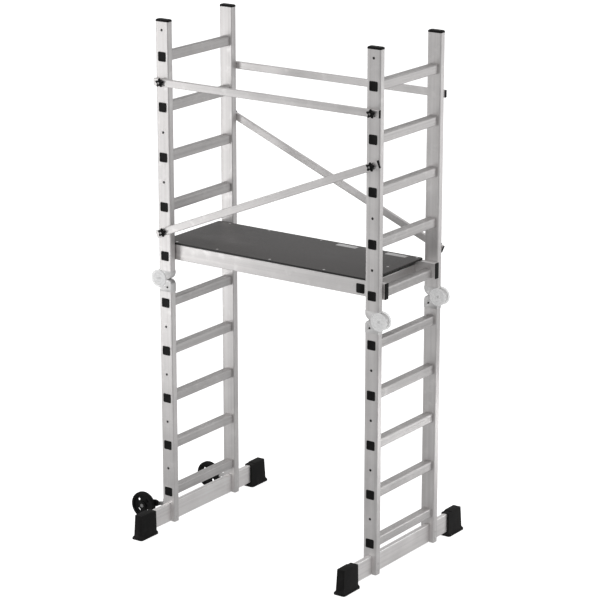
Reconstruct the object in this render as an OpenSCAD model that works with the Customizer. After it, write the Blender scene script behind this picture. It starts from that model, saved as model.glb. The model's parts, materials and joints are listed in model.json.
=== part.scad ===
// Folding room scaffold in aluminium. Two ladders fold at half height, a hook-on
// platform hangs between them, and guard rails and braces clamp the upper half.
// Millimetres. +Z is up, +X runs from the wheeled ladder to the other one, and Y runs
// along the rungs. The origin is on the ground, under the middle of the whole object.

/* [Frame] */
// Distance between the two ladders, centre to centre
ladder_span = 1229; // [900:1:1800]
// Depth over the outer faces of the stiles
frame_depth = 551; // [440:1:800]
// Height of the lowest rung above the ground
first_rung_z = 180; // [165:1:230]
// Distance from one rung to the next
rung_pitch = 250; // [200:1:320]
// Number of rungs below the fold, and as many above it
rung_count = 5; // [2:1:8]
// Distance between the two rungs on either side of the fold
fold_gap = 241; // [236:1:320]
// Length of stile above the top rung
stile_above = 171; // [120:1:240]

/* [Stiles] */
// Width of a stile, along X
stile_w = 76; // [66:1:100]
// Thickness of a stile, along Y
stile_t = 36; // [32:1:48]
// Wall of the stile tube
stile_wall = 2.5; // [1.8:0.1:3.5]
// Corner radius of the stile tube
stile_r = 6; // [4:0.5:9]
// Diameter of the bolt holes between the rungs
bolt_hole_d = 13; // [10:0.5:16]
// Height of the cap that closes a stile
cap_h = 12; // [5:0.5:16]

/* [Rungs] */
// Side of the square rung tube
rung_size = 46; // [36:1:56]
// Corner radius of the rung tube
rung_r = 6; // [4:0.5:8]
// Wall of the rung tube
rung_wall = 2.4; // [2:0.1:3.2]
// Width of a tread groove
groove_w = 2.6; // [1:0.1:4]
// Depth of a tread groove
groove_depth = 0.8; // [0.4:0.1:1.2]
// Distance from one tread groove to the next
groove_pitch = 6.4; // [4.5:0.1:7.5]
// How far the swaged collar stands out around a rung
collar_w = 4; // [2:0.5:6]
// Thickness of the swaged collar
collar_t = 2.5; // [1.5:0.5:3]
// Thickness of the head of a rung plug
plug_t = 2.5; // [1.5:0.5:4]

/* [Fold hinges] */
// How far the hinge axis lies outside the stile
pivot_outside = 3; // [2:0.5:8]
// Radius of the hinge knuckles
knuckle_r = 37; // [30:1:40]
// Thickness of the middle knuckle
knuckle_t = 18; // [12:1:22]
// Diameter of the hinge pin
hinge_pin_d = 12; // [8:1:16]
// Visible height of the upper hinge block
upper_block_h = 46; // [44:1:60]
// Visible height of the lower hinge block
lower_block_h = 62; // [58:1:80]
// Radius of the inner corner of the upper block
upper_round = 38; // [20:1:42]
// Radius of the inner corner of the lower block
lower_round = 26; // [12:1:40]
// Diameter of the round hinge cover
cover_d = 90; // [80:1:100]
// Thickness of the round hinge cover
cover_t = 3; // [2:0.5:5]
// Diameter of the lock pin beside a hinge
lock_pin_d = 9; // [6:0.5:12]
// Distance from the hinge axis to the lock pin, towards the inside
lock_in = 53; // [50:1:62]
// Distance from the hinge axis down to the lock pin
lock_down = 38; // [30:1:46]
// How far a lock pin stands proud of the stile
lock_proud = 2.5; // [1.5:0.5:4]

/* [Platform] */
// Height of a platform side rail
deck_rail_h = 79; // [70:1:110]
// Thickness of a platform side rail
deck_rail_t = 30; // [22:1:40]
// Wall of the platform tubes
deck_rail_wall = 2.5; // [1.8:0.1:3.5]
// How far the underside of a rail is below the middle of its rung
deck_rail_drop = 22; // [12:1:30]
// How far a rail runs past the middle of its rung
deck_rail_over = 45; // [38:1:60]
// Gap between a rail and the stile beside it
deck_side_gap = 4.5; // [4:0.5:15]
// Thickness of the deck board
deck_t = 9; // [6:0.5:18]
// How far the deck stops short of the ladder without wheels
deck_short = 42; // [40:1:80]
// Distance from a ladder to the platform's cross tube
transom_in = 92; // [75:1:160]
// Distance from the wheeled ladder to the first row of rivets
rivet_first = 33; // [20:1:60]
// Distance between the inner rows of rivets
rivet_pitch = 318; // [200:1:360]
// Diameter of a rivet's head
rivet_head_d = 13; // [8:0.5:16]

/* [Guard rails and braces] */
// Height of the flat tube of a guard rail
guard_h = 38; // [30:1:50]
// Thickness of the flat tube of a guard rail
guard_t = 15; // [12:1:25]
// Wall of the flat tube
guard_wall = 1.8; // [1.4:0.1:2.5]
// How far a tube runs past its bolt
guard_over = 40; // [32:1:70]
// Diameter of the bolt through a stile and a tube
guard_bolt_d = 9.9; // [7.9:0.1:12.9]
// Diameter of a star knob over its points
knob_d = 46; // [36:1:60]
// Thickness of a star knob
knob_t = 16; // [12:1:25]

/* [Base bars and feet] */
// Length of a base bar over its feet
base_len = 1082; // [900:1:1400]
// Height of a base bar
base_h = 96; // [70:1:100]
// Thickness of a base bar
base_t = 25; // [20:1:34]
// Clearance under a base bar
base_z = 22; // [16:1:40]
// Wall of a base bar
base_wall = 2.5; // [1.8:0.1:4]
// Length of a foot along the bar
foot_len = 141; // [100:1:170]
// Width of a foot across the bar
foot_w = 66; // [50:1:90]
// Thickness of the flange of a foot
flange_t = 9; // [6:0.5:14]

/* [Wheels] */
// Diameter of a wheel
wheel_d = 140; // [100:1:142]
// Width of a wheel
wheel_w = 25; // [18:1:32]
// Distance from the ladder to the wheel axle
wheel_out = 163; // [140:1:200]
// Gap between a wheel and the ground
wheel_lift = 2; // [1:0.5:10]
// Diameter of a wheel axle
axle_d = 12; // [8:1:16]
// Thickness of a wheel arm
arm_t = 12; // [8:1:16]

/* [Fits] */
// Clearance around a piece that is pushed into another
fit = 0.1; // [0.05:0.05:0.3]
// Clearance of a shaft that turns or slides
run_fit = 0.05; // [0.02:0.01:0.1]
// Clearance between faces that move past each other
face_gap = 0.3; // [0.2:0.05:0.6]

/* [Hidden] */
// Heights
hinge_z = first_rung_z + (rung_count - 1) * rung_pitch + fold_gap / 2;
upper_rung_z = hinge_z + fold_gap / 2;
top_rung_z = upper_rung_z + (rung_count - 1) * rung_pitch;
stile_top = top_rung_z + stile_above;
lower_rungs = [for (i = [0 : rung_count - 1]) first_rung_z + i * rung_pitch];
upper_rungs = [for (i = [0 : rung_count - 1]) upper_rung_z + i * rung_pitch];
lower_holes = [for (i = [0 : rung_count - 2]) first_rung_z + (i + 0.5) * rung_pitch];
upper_holes = [for (i = [0 : rung_count - 1])
    i < rung_count - 1 ? upper_rung_z + (i + 0.5) * rung_pitch : top_rung_z + rung_pitch / 2 + 5];
guard_z = upper_holes[rung_count - 2];
brace_low_z = upper_holes[0];
brace_high_z = upper_holes[max(rung_count - 3, 0)];

// Places across the object
pivot_out = stile_w / 2 + pivot_outside;
left_reach = wheel_out + wheel_d / 2;
right_reach = pivot_out + cover_d / 2;
x_left = left_reach - (ladder_span + left_reach + right_reach) / 2;
x_right = x_left + ladder_span;
x_mid = (x_left + x_right) / 2;

// Places along the rungs
half_depth = frame_depth / 2;
stile_y = half_depth - stile_t / 2;
stile_inner = half_depth - stile_t;

// Tube interiors
stile_in_w = stile_w - 2 * stile_wall;
stile_in_t = stile_t - 2 * stile_wall;
stile_in_r = stile_r - stile_wall;
rung_in = rung_size - 2 * rung_wall;
rung_in_r = rung_r - rung_wall;
spigot = 16;

// Hinges
side_knuckle_t = (stile_t - knuckle_t) / 2 - face_gap;
knuckle_cut_r = knuckle_r + 2 * face_gap;
seam = face_gap;
cover_seat = 2;
hub_d = 30;
hub_t = 2;

// Guard rails and braces
guard_y = half_depth + face_gap + guard_t / 2;
guard_outer = half_depth + face_gap + guard_t;
brace_rise = brace_high_z - brace_low_z;
brace_span = sqrt(ladder_span * ladder_span + brace_rise * brace_rise);
brace_angle = atan2(brace_rise, ladder_span);
guard_r = 4;
bolt_head_d = 24;
bolt_head_t = 2.5;
bolt_tip = 1.5;

// Platform
deck_rail_outer = stile_inner - deck_side_gap;
deck_rail_inner = deck_rail_outer - deck_rail_t;
deck_rail_y = deck_rail_outer - deck_rail_t / 2;
deck_rail_z = upper_rung_z - deck_rail_drop;
deck_rail_top = deck_rail_z + deck_rail_h;
deck_top = deck_rail_top + deck_t;
deck_rail_x0 = x_left - deck_rail_over;
deck_rail_x1 = x_right + deck_rail_over;
deck_cap_t = 3;
deck_corner_r = 8;
deck_rail_r = 4;
deck_x0 = deck_rail_x0 - deck_cap_t;
deck_x1 = x_right - deck_short;
hook_gap = 1;
transom_z = deck_rail_z + deck_rail_h / 2 - 4;
transom_top = transom_z + rung_size / 2;
rivet_shank_d = 5;
rivet_head_t = 1.5;
rivet_y = deck_rail_y - 2;
rivet_last = deck_x1 - 24;
rivet_mid = (x_left + rivet_first + rivet_last) / 2;
rivet_rows = [x_left + rivet_first, rivet_mid - rivet_pitch, rivet_mid,
    rivet_mid + rivet_pitch, rivet_last];

// Base bars and feet
foot_outer = base_len / 2;
foot_inner = foot_outer - foot_len;
foot_lean = 19;
foot_end_wall = foot_lean + 5;
bar_end = foot_outer - foot_end_wall;
bar_r = 4;
base_top = base_z + base_h;
foot_top = base_top + 7;
slot_w = base_t + 1;
base_rivets = [base_z + 0.25 * base_h, base_z + 0.6 * base_h];
base_rivet_d = 8;

// Wheels
wheel_z = wheel_lift + wheel_d / 2;
wheel_y = stile_y + arm_t / 2 + 1.5 + wheel_w / 2;
strap_z = wheel_z + 31;
strap_h = 20;
strap_t = 4;
arm_neck_out = stile_w / 2 + 46;
hub_hole_r = 0.27 * wheel_d;
hub_face_d = 44;

smooth = 64;
round_bore = 48;

// ---- Placing. Inside a ladder, +X points to the other ladder and -Y out of a stile.

module at_left() translate([x_left, 0, 0]) children();

module at_right() translate([x_right, 0, 0]) mirror([1, 0, 0]) children();

module at_front() translate([0, -stile_y, 0]) children();

module at_back() mirror([0, 1, 0]) at_front() children();

module at_hinge() translate([-pivot_out, 0, hinge_z]) children();

// side is 0 at the front and 1 at the back
module on_side(side) mirror([0, side, 0]) children();

module both_ends() {
    at_front() children();
    at_back() children();
}

// ---- Shared shapes

module rounded_rect(w, h, r) {
    square([w - 2 * r, h], center = true);
    square([w, h - 2 * r], center = true);
    for (sx = [-1, 1], sy = [-1, 1])
        translate([sx * (w / 2 - r), sy * (h / 2 - r)]) circle(r, $fn = smooth);
}

module tube_outline(w, h, r, wall) {
    difference() {
        rounded_rect(w, h, r);
        rounded_rect(w - 2 * wall, h - 2 * wall, max(r - wall, 1));
    }
}

// Extrudes an X-Z outline along Y, centred on Y = 0
module along_y(length) rotate([90, 0, 0]) linear_extrude(length, center = true) children();

// Extrudes a Z-Y outline along X, centred on X = 0; the outline's first axis is vertical
module along_x(length) rotate([0, 90, 0]) linear_extrude(length, center = true) children();

// A round bar or hole along Y
module bolt_hole(d, length) rotate([90, 0, 0])
    cylinder(d = d, h = length, center = true, $fn = round_bore);

// A round bar or hole along X
module cross_hole(d, length) rotate([0, 90, 0])
    cylinder(d = d, h = length, center = true, $fn = round_bore);

// ---- Ladder pieces

// A stile has its bolt holes in its outer wall only, which is the one towards -Y
module stile_tube(z0, z1, rungs, holes) {
    difference() {
        translate([0, 0, z0]) linear_extrude(z1 - z0)
            tube_outline(stile_w, stile_t, stile_r, stile_wall);
        for (z = rungs) translate([0, 0, z]) along_y(stile_t + 2)
            rounded_rect(rung_size + 2 * fit, rung_size + 2 * fit, rung_r + fit);
        for (z = holes) translate([0, -stile_t / 2, z]) bolt_hole(bolt_hole_d, 2 * stile_wall + 2);
    }
}

module upper_stile() color("gainsboro")
    stile_tube(hinge_z + upper_block_h, stile_top, upper_rungs, upper_holes);

// The foot of a lower stile straddles the base bar, so it ends in two legs
module lower_stile() color("gainsboro") {
    difference() {
        stile_tube(base_z, hinge_z - lower_block_h, lower_rungs, lower_holes);
        translate([0, 0, base_top / 2 + 0.5])
            cube([slot_w, stile_t + 2, base_top + 1], center = true);
        for (z = base_rivets) translate([0, 0, z]) cross_hole(base_rivet_d + 2 * fit, stile_w + 2);
    }
}

module rung_outline() {
    difference() {
        tube_outline(rung_size, rung_size, rung_r, rung_wall);
        for (i = [-2 : 2], s = [-1, 1]) {
            translate([i * groove_pitch, s * rung_size / 2])
                square([groove_w, 2 * groove_depth], center = true);
        }
        for (i = [-1, 1], s = [-1, 1]) {
            translate([s * rung_size / 2, i * groove_pitch])
                square([2 * groove_depth, groove_w], center = true);
        }
    }
}

module rung() {
    along_y(frame_depth) rung_outline();
    for (s = [-1, 1]) translate([0, s * (stile_inner - fit - collar_t / 2), 0]) along_y(collar_t)
        tube_outline(rung_size + 2 * collar_w, rung_size + 2 * collar_w, rung_r + collar_w,
            collar_w + groove_depth + 0.4);
}

module rungs(heights) color("silver") for (z = heights) translate([0, 0, z]) rung();

module square_plug(size, inner, r, inner_r, head_t) {
    edge = head_t * 0.4;
    translate([0, -(head_t - edge) / 2, 0]) along_y(head_t - edge) rounded_rect(size[0], size[1], r);
    translate([0, -head_t + edge / 2, 0]) along_y(edge)
        rounded_rect(size[0] - 2 * edge, size[1] - 2 * edge, r - edge);
    translate([0, spigot / 2, 0]) along_y(spigot)
        rounded_rect(inner[0] - 2 * fit, inner[1] - 2 * fit, inner_r);
}

// Plugs in both ends of each rung
module rung_plugs(heights) color([0.09, 0.09, 0.09]) {
    for (z = heights, m = [0, 1]) mirror([0, m, 0]) translate([0, -half_depth, z])
        square_plug([rung_size, rung_size], [rung_in, rung_in], rung_r, rung_in_r, plug_t);
}

module stile_cap() color([0.09, 0.09, 0.09]) translate([0, 0, stile_top]) {
    linear_extrude(cap_h / 2) rounded_rect(stile_w + 2, stile_t + 2, stile_r + 1);
    translate([0, 0, cap_h / 2]) linear_extrude(cap_h / 4)
        rounded_rect(stile_w - 4, stile_t - 4, stile_r);
    translate([0, 0, cap_h * 3 / 4]) linear_extrude(cap_h / 4)
        rounded_rect(stile_w - 14, stile_t - 12, stile_r);
    translate([0, 0, -spigot]) linear_extrude(spigot)
        rounded_rect(stile_in_w - 2 * fit, stile_in_t - 2 * fit, stile_in_r);
}

// ---- Fold hinges. Drawn with the hinge axis at the origin and the stile on the +X side.

module block_outline(height, corner) {
    x1 = pivot_outside + stile_w;
    z0 = seam / 2;
    difference() {
        translate([pivot_outside, z0]) square([stile_w, height - z0]);
        difference() {
            translate([x1 - corner, z0 - 1]) square([corner + 1, corner + 1]);
            translate([x1 - corner, z0 + corner]) circle(corner, $fn = smooth);
        }
    }
}

module knuckle(r, length) rotate([90, 0, 0]) cylinder(r = r, h = length, center = true, $fn = smooth);

module block_spigot(z) {
    translate([pivot_out, 0, z]) linear_extrude(spigot + 6)
        rounded_rect(stile_in_w - 2 * fit, stile_in_t - 2 * fit, stile_in_r);
}

// Fork: two side knuckles that hold the pin, and a hollow for the tongue
module upper_block() {
    difference() {
        union() {
            along_y(stile_t) block_outline(upper_block_h, upper_round);
            for (s = [-1, 1]) translate([0, s * (stile_t - side_knuckle_t) / 2, 0])
                knuckle(knuckle_r, side_knuckle_t);
            block_spigot(upper_block_h - 1);
        }
        knuckle(knuckle_cut_r, knuckle_t + 2 * face_gap);
        bolt_hole(hinge_pin_d + 2 * run_fit, stile_t + 2);
    }
}

// Tongue: one middle knuckle, with both flanks cut back for the fork
module lower_block() {
    side_cut_t = stile_t;
    difference() {
        union() {
            mirror([0, 0, 1]) along_y(stile_t) block_outline(lower_block_h, lower_round);
            mirror([0, 0, 1]) block_spigot(lower_block_h - 1);
            knuckle(knuckle_r, knuckle_t);
        }
        for (s = [-1, 1]) translate([0, s * (knuckle_t + side_cut_t) / 2, 0])
            knuckle(knuckle_cut_r, side_cut_t);
        bolt_hole(hinge_pin_d + 2 * run_fit, stile_t + 2);
        translate([lock_in, 0, -lock_down]) bolt_hole(lock_pin_d + 2 * run_fit, stile_t + 2);
    }
}

module hinge_pin() bolt_hole(hinge_pin_d, stile_t + 2 * cover_seat);

// A round cover with a raised rim and hub, seated on one end of the pin
module hinge_cover() {
    inner = stile_t / 2 + face_gap;
    rim_w = 4;
    difference() {
        union() {
            translate([0, -inner - cover_t / 2, 0]) knuckle(cover_d / 2, cover_t);
            translate([0, -inner - cover_t - hub_t / 2, 0]) knuckle(hub_d / 2, hub_t);
            translate([0, -inner - cover_t - 0.5, 0]) difference() {
                knuckle(cover_d / 2 - 2, 1);
                knuckle(cover_d / 2 - 2 - rim_w, 2);
            }
        }
        translate([0, -stile_t / 2, 0]) bolt_hole(hinge_pin_d + 2 * fit, 2 * (cover_seat + fit));
    }
}

module lock_pin() color([0.1, 0.1, 0.1]) at_hinge() translate([lock_in, 0, -lock_down])
    bolt_hole(lock_pin_d, stile_t + 2 * lock_proud);

// ---- Guard rails and braces

module guard_tube(span) color("gainsboro") {
    difference() {
        along_x(span + 2 * guard_over) tube_outline(guard_h, guard_t, guard_r, guard_wall);
        for (s = [-1, 1]) translate([s * span / 2, 0, 0])
            bolt_hole(bolt_hole_d, guard_t + 2);
    }
}

module guard_plugs(span) color([0.09, 0.09, 0.09]) {
    for (m = [0, 1]) mirror([m, 0, 0]) translate([span / 2 + guard_over, 0, 0]) rotate([0, 0, 90])
        square_plug([guard_t, guard_h], [guard_t - 2 * guard_wall, guard_h - 2 * guard_wall],
            guard_r, guard_r - guard_wall, plug_t);
}

module place_rail() translate([x_mid, -guard_y, guard_z]) children();

module place_brace() translate([x_mid, -guard_y, (brace_low_z + brace_high_z) / 2])
    rotate([0, -brace_angle, 0]) children();

// The back brace slopes the other way
module place_brace_back() translate([x_mid, guard_y, (brace_low_z + brace_high_z) / 2])
    rotate([0, brace_angle, 0]) children();

// Cup-headed bolt, from inside the outer wall of the stile out through the tube and the knob
module guard_bolt(x, z, side) {
    seat_y = half_depth - stile_wall;
    end_y = guard_outer + face_gap + knob_t + bolt_tip;
    color("silver") on_side(side) translate([x, 0, z]) {
        translate([0, -(seat_y + end_y) / 2, 0]) bolt_hole(guard_bolt_d, end_y - seat_y);
        translate([0, -seat_y + bolt_head_t / 2, 0]) bolt_hole(bolt_head_d, bolt_head_t);
    }
}

module star_outline() {
    tip_r = 3.2;
    reach = knob_d / 2 - tip_r;
    core = knob_d * 0.29;
    circle(core, $fn = smooth);
    for (i = [0 : 4]) rotate(90 + i * 72) {
        polygon([[0, -core * 0.86], [reach, -tip_r], [reach, tip_r], [0, core * 0.86]]);
        translate([reach, 0]) circle(tip_r, $fn = round_bore);
    }
}

module star_knob(x, z, side) {
    boss_t = 4;
    cap_t = 2;
    seat_y = guard_outer + face_gap;
    color([0.09, 0.09, 0.09]) on_side(side) translate([x, -seat_y, z]) difference() {
        union() {
            translate([0, -boss_t / 2, 0]) knuckle(knob_d * 0.22, boss_t);
            translate([0, -(boss_t + knob_t - cap_t) / 2, 0])
                along_y(knob_t - boss_t - cap_t) star_outline();
            translate([0, -knob_t + cap_t / 2, 0]) knuckle(knob_d * 0.24, cap_t);
        }
        bolt_hole(guard_bolt_d + 2 * run_fit, 2 * knob_t + 2);
    }
}

// ---- Platform

// Side rail with a hook notch over each rung
module platform_rail() color("gainsboro") {
    length = deck_rail_x1 - deck_rail_x0;
    notch_w = rung_size + 2 * hook_gap;
    notch_top = upper_rung_z + rung_size / 2 + face_gap;
    notch_h = notch_top - deck_rail_z + rung_size;
    difference() {
        translate([(deck_rail_x0 + deck_rail_x1) / 2, -deck_rail_y, deck_rail_z + deck_rail_h / 2])
            along_x(length) tube_outline(deck_rail_h, deck_rail_t, deck_rail_r, deck_rail_wall);
        for (x = [x_left, x_right])
            translate([x, -deck_rail_y, notch_top - notch_h / 2])
                along_y(deck_rail_t + 2) rounded_rect(notch_w, notch_h, rung_r);
        translate([x_right - transom_in, -deck_rail_y, transom_z]) along_y(deck_rail_t + 2)
            rounded_rect(rung_size + 2 * fit, rung_size + 2 * fit, rung_r + fit);
        for (x = rivet_rows) translate([x, -rivet_y, deck_rail_top])
            cylinder(d = rivet_shank_d + 2 * fit, h = 3 * deck_rail_wall, center = true, $fn = 24);
    }
}

// One cross tube runs out through both rails, and the other stops between them
module platform_transoms() color("silver") {
    translate([x_right - transom_in, 0, transom_z]) difference() {
        along_y(2 * deck_rail_outer) tube_outline(rung_size, rung_size, rung_r, deck_rail_wall);
        translate([0, 0, rung_size / 2])
            cylinder(d = rivet_shank_d + 2 * fit, h = 3 * deck_rail_wall, center = true, $fn = 24);
    }
    translate([x_left + transom_in, 0, transom_z]) along_y(2 * (deck_rail_inner - fit))
        tube_outline(rung_size, rung_size, rung_r, deck_rail_wall);
}

// Board with a sunk seat for the head of each rivet
module platform_deck() color([0.36, 0.35, 0.34]) {
    difference() {
        translate([(deck_x0 + deck_x1) / 2, 0, deck_rail_top]) linear_extrude(deck_t)
            rounded_rect(deck_x1 - deck_x0, 2 * deck_rail_outer, deck_corner_r);
        rail_rivet_places() rivet_seat();
        transom_rivet_place() rivet_seat();
    }
}

module rivet_seat() {
    translate([0, 0, deck_rail_top - 1]) cylinder(d = rivet_shank_d + 2 * fit, h = deck_t + 2, $fn = 24);
    translate([0, 0, deck_top - rivet_head_t])
        cylinder(d = rivet_head_d + 2 * fit, h = 2 * rivet_head_t, $fn = 32);
}

module rail_rivet_places() for (x = rivet_rows, s = [-1, 1]) translate([x, s * rivet_y, 0]) children();

module transom_rivet_place() translate([x_right - transom_in, 0, 0]) children();

// Rivet with its head flush with the deck; its shank ends just below bottom
module deck_rivet(bottom) {
    translate([0, 0, bottom - 1])
        cylinder(d = rivet_shank_d, h = deck_top - rivet_head_t - bottom + 1, $fn = 24);
    translate([0, 0, deck_top - rivet_head_t]) cylinder(d = rivet_head_d, h = rivet_head_t, $fn = 32);
}

module deck_rivets() color("silver") {
    rail_rivet_places() deck_rivet(deck_rail_top - deck_rail_wall);
    transom_rivet_place() deck_rivet(transom_top - deck_rail_wall);
}

// Caps on the four rail ends, and plugs on the ends of the cross tube
module platform_end_caps() color([0.09, 0.09, 0.09]) for (m = [0, 1]) mirror([0, m, 0]) {
    inner = [deck_rail_t - 2 * deck_rail_wall, deck_rail_h - 2 * deck_rail_wall];
    head = [deck_rail_t, deck_rail_h];
    translate([deck_rail_x1, -deck_rail_y, deck_rail_z + deck_rail_h / 2]) rotate([0, 0, 90])
        square_plug(head, inner, deck_rail_r, deck_rail_r - deck_rail_wall, deck_cap_t);
    translate([deck_rail_x0, -deck_rail_y, deck_rail_z + deck_rail_h / 2]) rotate([0, 0, -90])
        square_plug(head, inner, deck_rail_r, deck_rail_r - deck_rail_wall, deck_cap_t);
    transom_inner = rung_size - 2 * deck_rail_wall;
    translate([x_right - transom_in, -deck_rail_outer, transom_z])
        square_plug([rung_size, rung_size], [transom_inner, transom_inner],
            rung_r, rung_r - deck_rail_wall, plug_t);
}

// ---- Base bars and feet

module base_bar() color("gainsboro") {
    difference() {
        translate([0, 0, base_z + base_h / 2]) along_y(2 * bar_end)
            tube_outline(base_t, base_h, bar_r, base_wall);
        for (s = [-1, 1], z = base_rivets) translate([0, s * stile_y, z])
            cross_hole(base_rivet_d + 2 * fit, base_t + 2);
    }
}

// Boot over one end of a base bar. Its end face leans, its foot flares out to the sole, and
// the bar enters under a low lip on the inner side.
foot_flare_z = flange_t + 10;
foot_sole_in = 3;

module foot_side_outline() {
    heel = 11;
    mouth = 7;
    lip_drop = 4;
    lip_len = 40;
    slope = 6;
    polygon([[-foot_outer + foot_sole_in, flange_t - 1], [-foot_outer + heel, foot_flare_z],
        [-foot_outer + foot_lean, foot_top], [-foot_inner - lip_len, foot_top],
        [-foot_inner - lip_len + slope, foot_top - lip_drop], [-foot_inner - mouth, foot_top - lip_drop],
        [-foot_inner - mouth, foot_flare_z], [-foot_inner - foot_sole_in, flange_t - 1]]);
}

module foot_end_outline() {
    body = base_t / 2 + 9;
    low_body = body + 2;
    sole = foot_w / 2 - foot_sole_in;
    polygon([[-sole, flange_t - 1], [-low_body, foot_flare_z], [-body, foot_top + 1],
        [body, foot_top + 1], [low_body, foot_flare_z], [sole, flange_t - 1]]);
}

module foot() {
    sole_r = 12;
    difference() {
        union() {
            translate([0, -(foot_outer + foot_inner) / 2, 0]) linear_extrude(flange_t)
                rounded_rect(foot_w, foot_len, sole_r);
            intersection() {
                rotate([90, 0, 90]) linear_extrude(foot_w, center = true) foot_side_outline();
                translate([0, -foot_outer + foot_len / 2, 0]) along_y(foot_len + 60) foot_end_outline();
            }
        }
        translate([0, -bar_end / 2 - fit, base_z + base_h / 2])
            along_y(bar_end) rounded_rect(base_t + 2 * fit, base_h + 2 * fit, bar_r + fit);
    }
}

module feet() color([0.08, 0.08, 0.08]) for (m = [0, 1]) mirror([0, m, 0]) foot();

module base_rivets() color("silver") both_ends() {
    head_t = 2;
    for (z = base_rivets) translate([0, 0, z]) {
        cross_hole(base_rivet_d, stile_w + head_t);
        for (s = [-1, 1]) translate([s * (stile_w + head_t) / 2, 0, 0])
            cross_hole(base_rivet_d + 5, head_t);
    }
}

// ---- Wheels, on arms that stand out of the lower stiles of one ladder

// Round boss at the axle, narrowing to a neck that holds the strap
module wheel_arm_outline() {
    boss_r = 25;
    neck_low = wheel_z + 6;
    neck_high = wheel_z + 32;
    shoulder = 16;
    translate([-wheel_out, wheel_z]) circle(boss_r, $fn = smooth);
    polygon([[-wheel_out - 2, wheel_z + boss_r - 0.4], [-arm_neck_out - shoulder, neck_high + 4],
        [-arm_neck_out, neck_high], [-arm_neck_out, neck_low],
        [-arm_neck_out - shoulder - 4, neck_low - 8], [-wheel_out + 4, wheel_z - boss_r + 0.6]]);
}

module wheel_arms() color([0.1, 0.1, 0.1]) both_ends() {
    difference() {
        along_y(arm_t) wheel_arm_outline();
        translate([-wheel_out, 0, wheel_z]) bolt_hole(axle_d + 2 * fit, arm_t + 2);
        along_y(strap_t + 2 * fit) strap_outline(fit);
    }
}

// Flat strap that drops from the stile into the arm
module strap_outline(grow) {
    inner_x = -arm_neck_out - 22;
    half_h = strap_h / 2 + grow;
    inner_z = wheel_z + 14;
    knee_z = wheel_z + 19;
    polygon([[inner_x - grow, inner_z - half_h], [inner_x - grow, inner_z + half_h],
        [-stile_w / 2, strap_z + half_h], [-stile_w / 2, strap_z - half_h],
        [-arm_neck_out, knee_z - half_h]]);
}

module wheel_straps() color("gray") both_ends() {
    plate_h = 44;
    plate_t = 3;
    plate_z = strap_z + 8;
    rivet_gap = 14;
    along_y(strap_t) strap_outline(0);
    translate([-stile_w / 2 - fit - plate_t / 2, 0, plate_z])
        along_x(plate_t) rounded_rect(plate_h, stile_t - 10, 4);
    for (s = [-1, 1]) translate([-stile_w / 2 - fit - plate_t - 1, 8, plate_z + s * rivet_gap])
        rotate([0, 90, 0]) cylinder(d = 7, h = 2, center = true, $fn = 24);
}

// Pin with a head outside the wheel and a collar inside the arm
module wheel_axles() color("silver") for (m = [0, 1]) mirror([0, m, 0])
    translate([-wheel_out, 0, wheel_z]) {
        head_t = 3;
        inner_y = stile_y - arm_t / 2 - 1;
        outer_y = wheel_y + wheel_w / 2 + face_gap;
        translate([0, -(inner_y + outer_y) / 2, 0]) bolt_hole(axle_d, outer_y - inner_y);
        translate([0, -outer_y - head_t / 2, 0]) bolt_hole(axle_d + 8, head_t);
        translate([0, -inner_y + head_t / 2, 0]) bolt_hole(axle_d + 6, head_t);
    }

module wheel_section() {
    r = wheel_d / 2;
    edge = 5;
    web_t = 10;
    rim_in = r - 15;
    hub_r = hub_face_d / 2;
    bore_r = axle_d / 2 + run_fit;
    // tyre
    translate([rim_in, -wheel_w / 2]) square([r - edge - rim_in, wheel_w]);
    translate([rim_in, -wheel_w / 2 + edge]) square([r - rim_in, wheel_w - 2 * edge]);
    for (s = [-1, 1]) translate([r - edge, s * (wheel_w / 2 - edge)]) circle(edge, $fn = 32);
    // web and hub
    translate([bore_r, -web_t / 2]) square([rim_in - bore_r + 1, web_t]);
    translate([bore_r, -wheel_w / 2]) square([hub_r - bore_r, wheel_w]);
}

// Four oval holes through the web
module wheel(side) color([0.1, 0.1, 0.1]) on_side(side)
    translate([-wheel_out, -wheel_y, wheel_z]) difference() {
        slot_len = 8;
        hole_w = 12;
        rotate([90, 0, 0]) rotate_extrude($fn = 96) wheel_section();
        for (a = [45 : 90 : 315]) rotate([0, a, 0]) translate([0, 0, hub_hole_r]) {
            for (s = [-1, 1]) translate([s * slot_len / 2, 0, 0]) bolt_hole(hole_w, wheel_w + 2);
            cube([slot_len, wheel_w + 2, hole_w], center = true);
        }
    }

// ---- Groups of like pieces

module upper_rung_plugs() {
    at_left() rung_plugs(upper_rungs);
    at_right() rung_plugs(upper_rungs);
}

module stile_caps() {
    at_left() both_ends() stile_cap();
    at_right() both_ends() stile_cap();
}

module upper_hinge_blocks() color("lightgray") {
    at_left() both_ends() at_hinge() upper_block();
    at_right() both_ends() at_hinge() upper_block();
}

module lower_blocks() color("lightgray") both_ends() at_hinge() lower_block();

module hinge_pins() color("silver") {
    at_left() both_ends() at_hinge() hinge_pin();
    at_right() both_ends() at_hinge() hinge_pin();
}

// A cover on each side of each hinge
module hinge_covers() color("whitesmoke") {
    at_left() both_ends() at_hinge() for (m = [0, 1]) mirror([0, m, 0]) hinge_cover();
    at_right() both_ends() at_hinge() for (m = [0, 1]) mirror([0, m, 0]) hinge_cover();
}

module tube_end_plugs() {
    for (m = [0, 1]) mirror([0, m, 0]) place_rail() guard_plugs(ladder_span);
    place_brace() guard_plugs(brace_span);
    place_brace_back() guard_plugs(brace_span);
}

module guard_bolts() {
    for (side = [0, 1]) {
        guard_bolt(x_left, guard_z, side);
        guard_bolt(x_right, guard_z, side);
        guard_bolt(x_left, side == 0 ? brace_low_z : brace_high_z, side);
        guard_bolt(x_right, side == 0 ? brace_high_z : brace_low_z, side);
    }
}

// ---- Output

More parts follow.
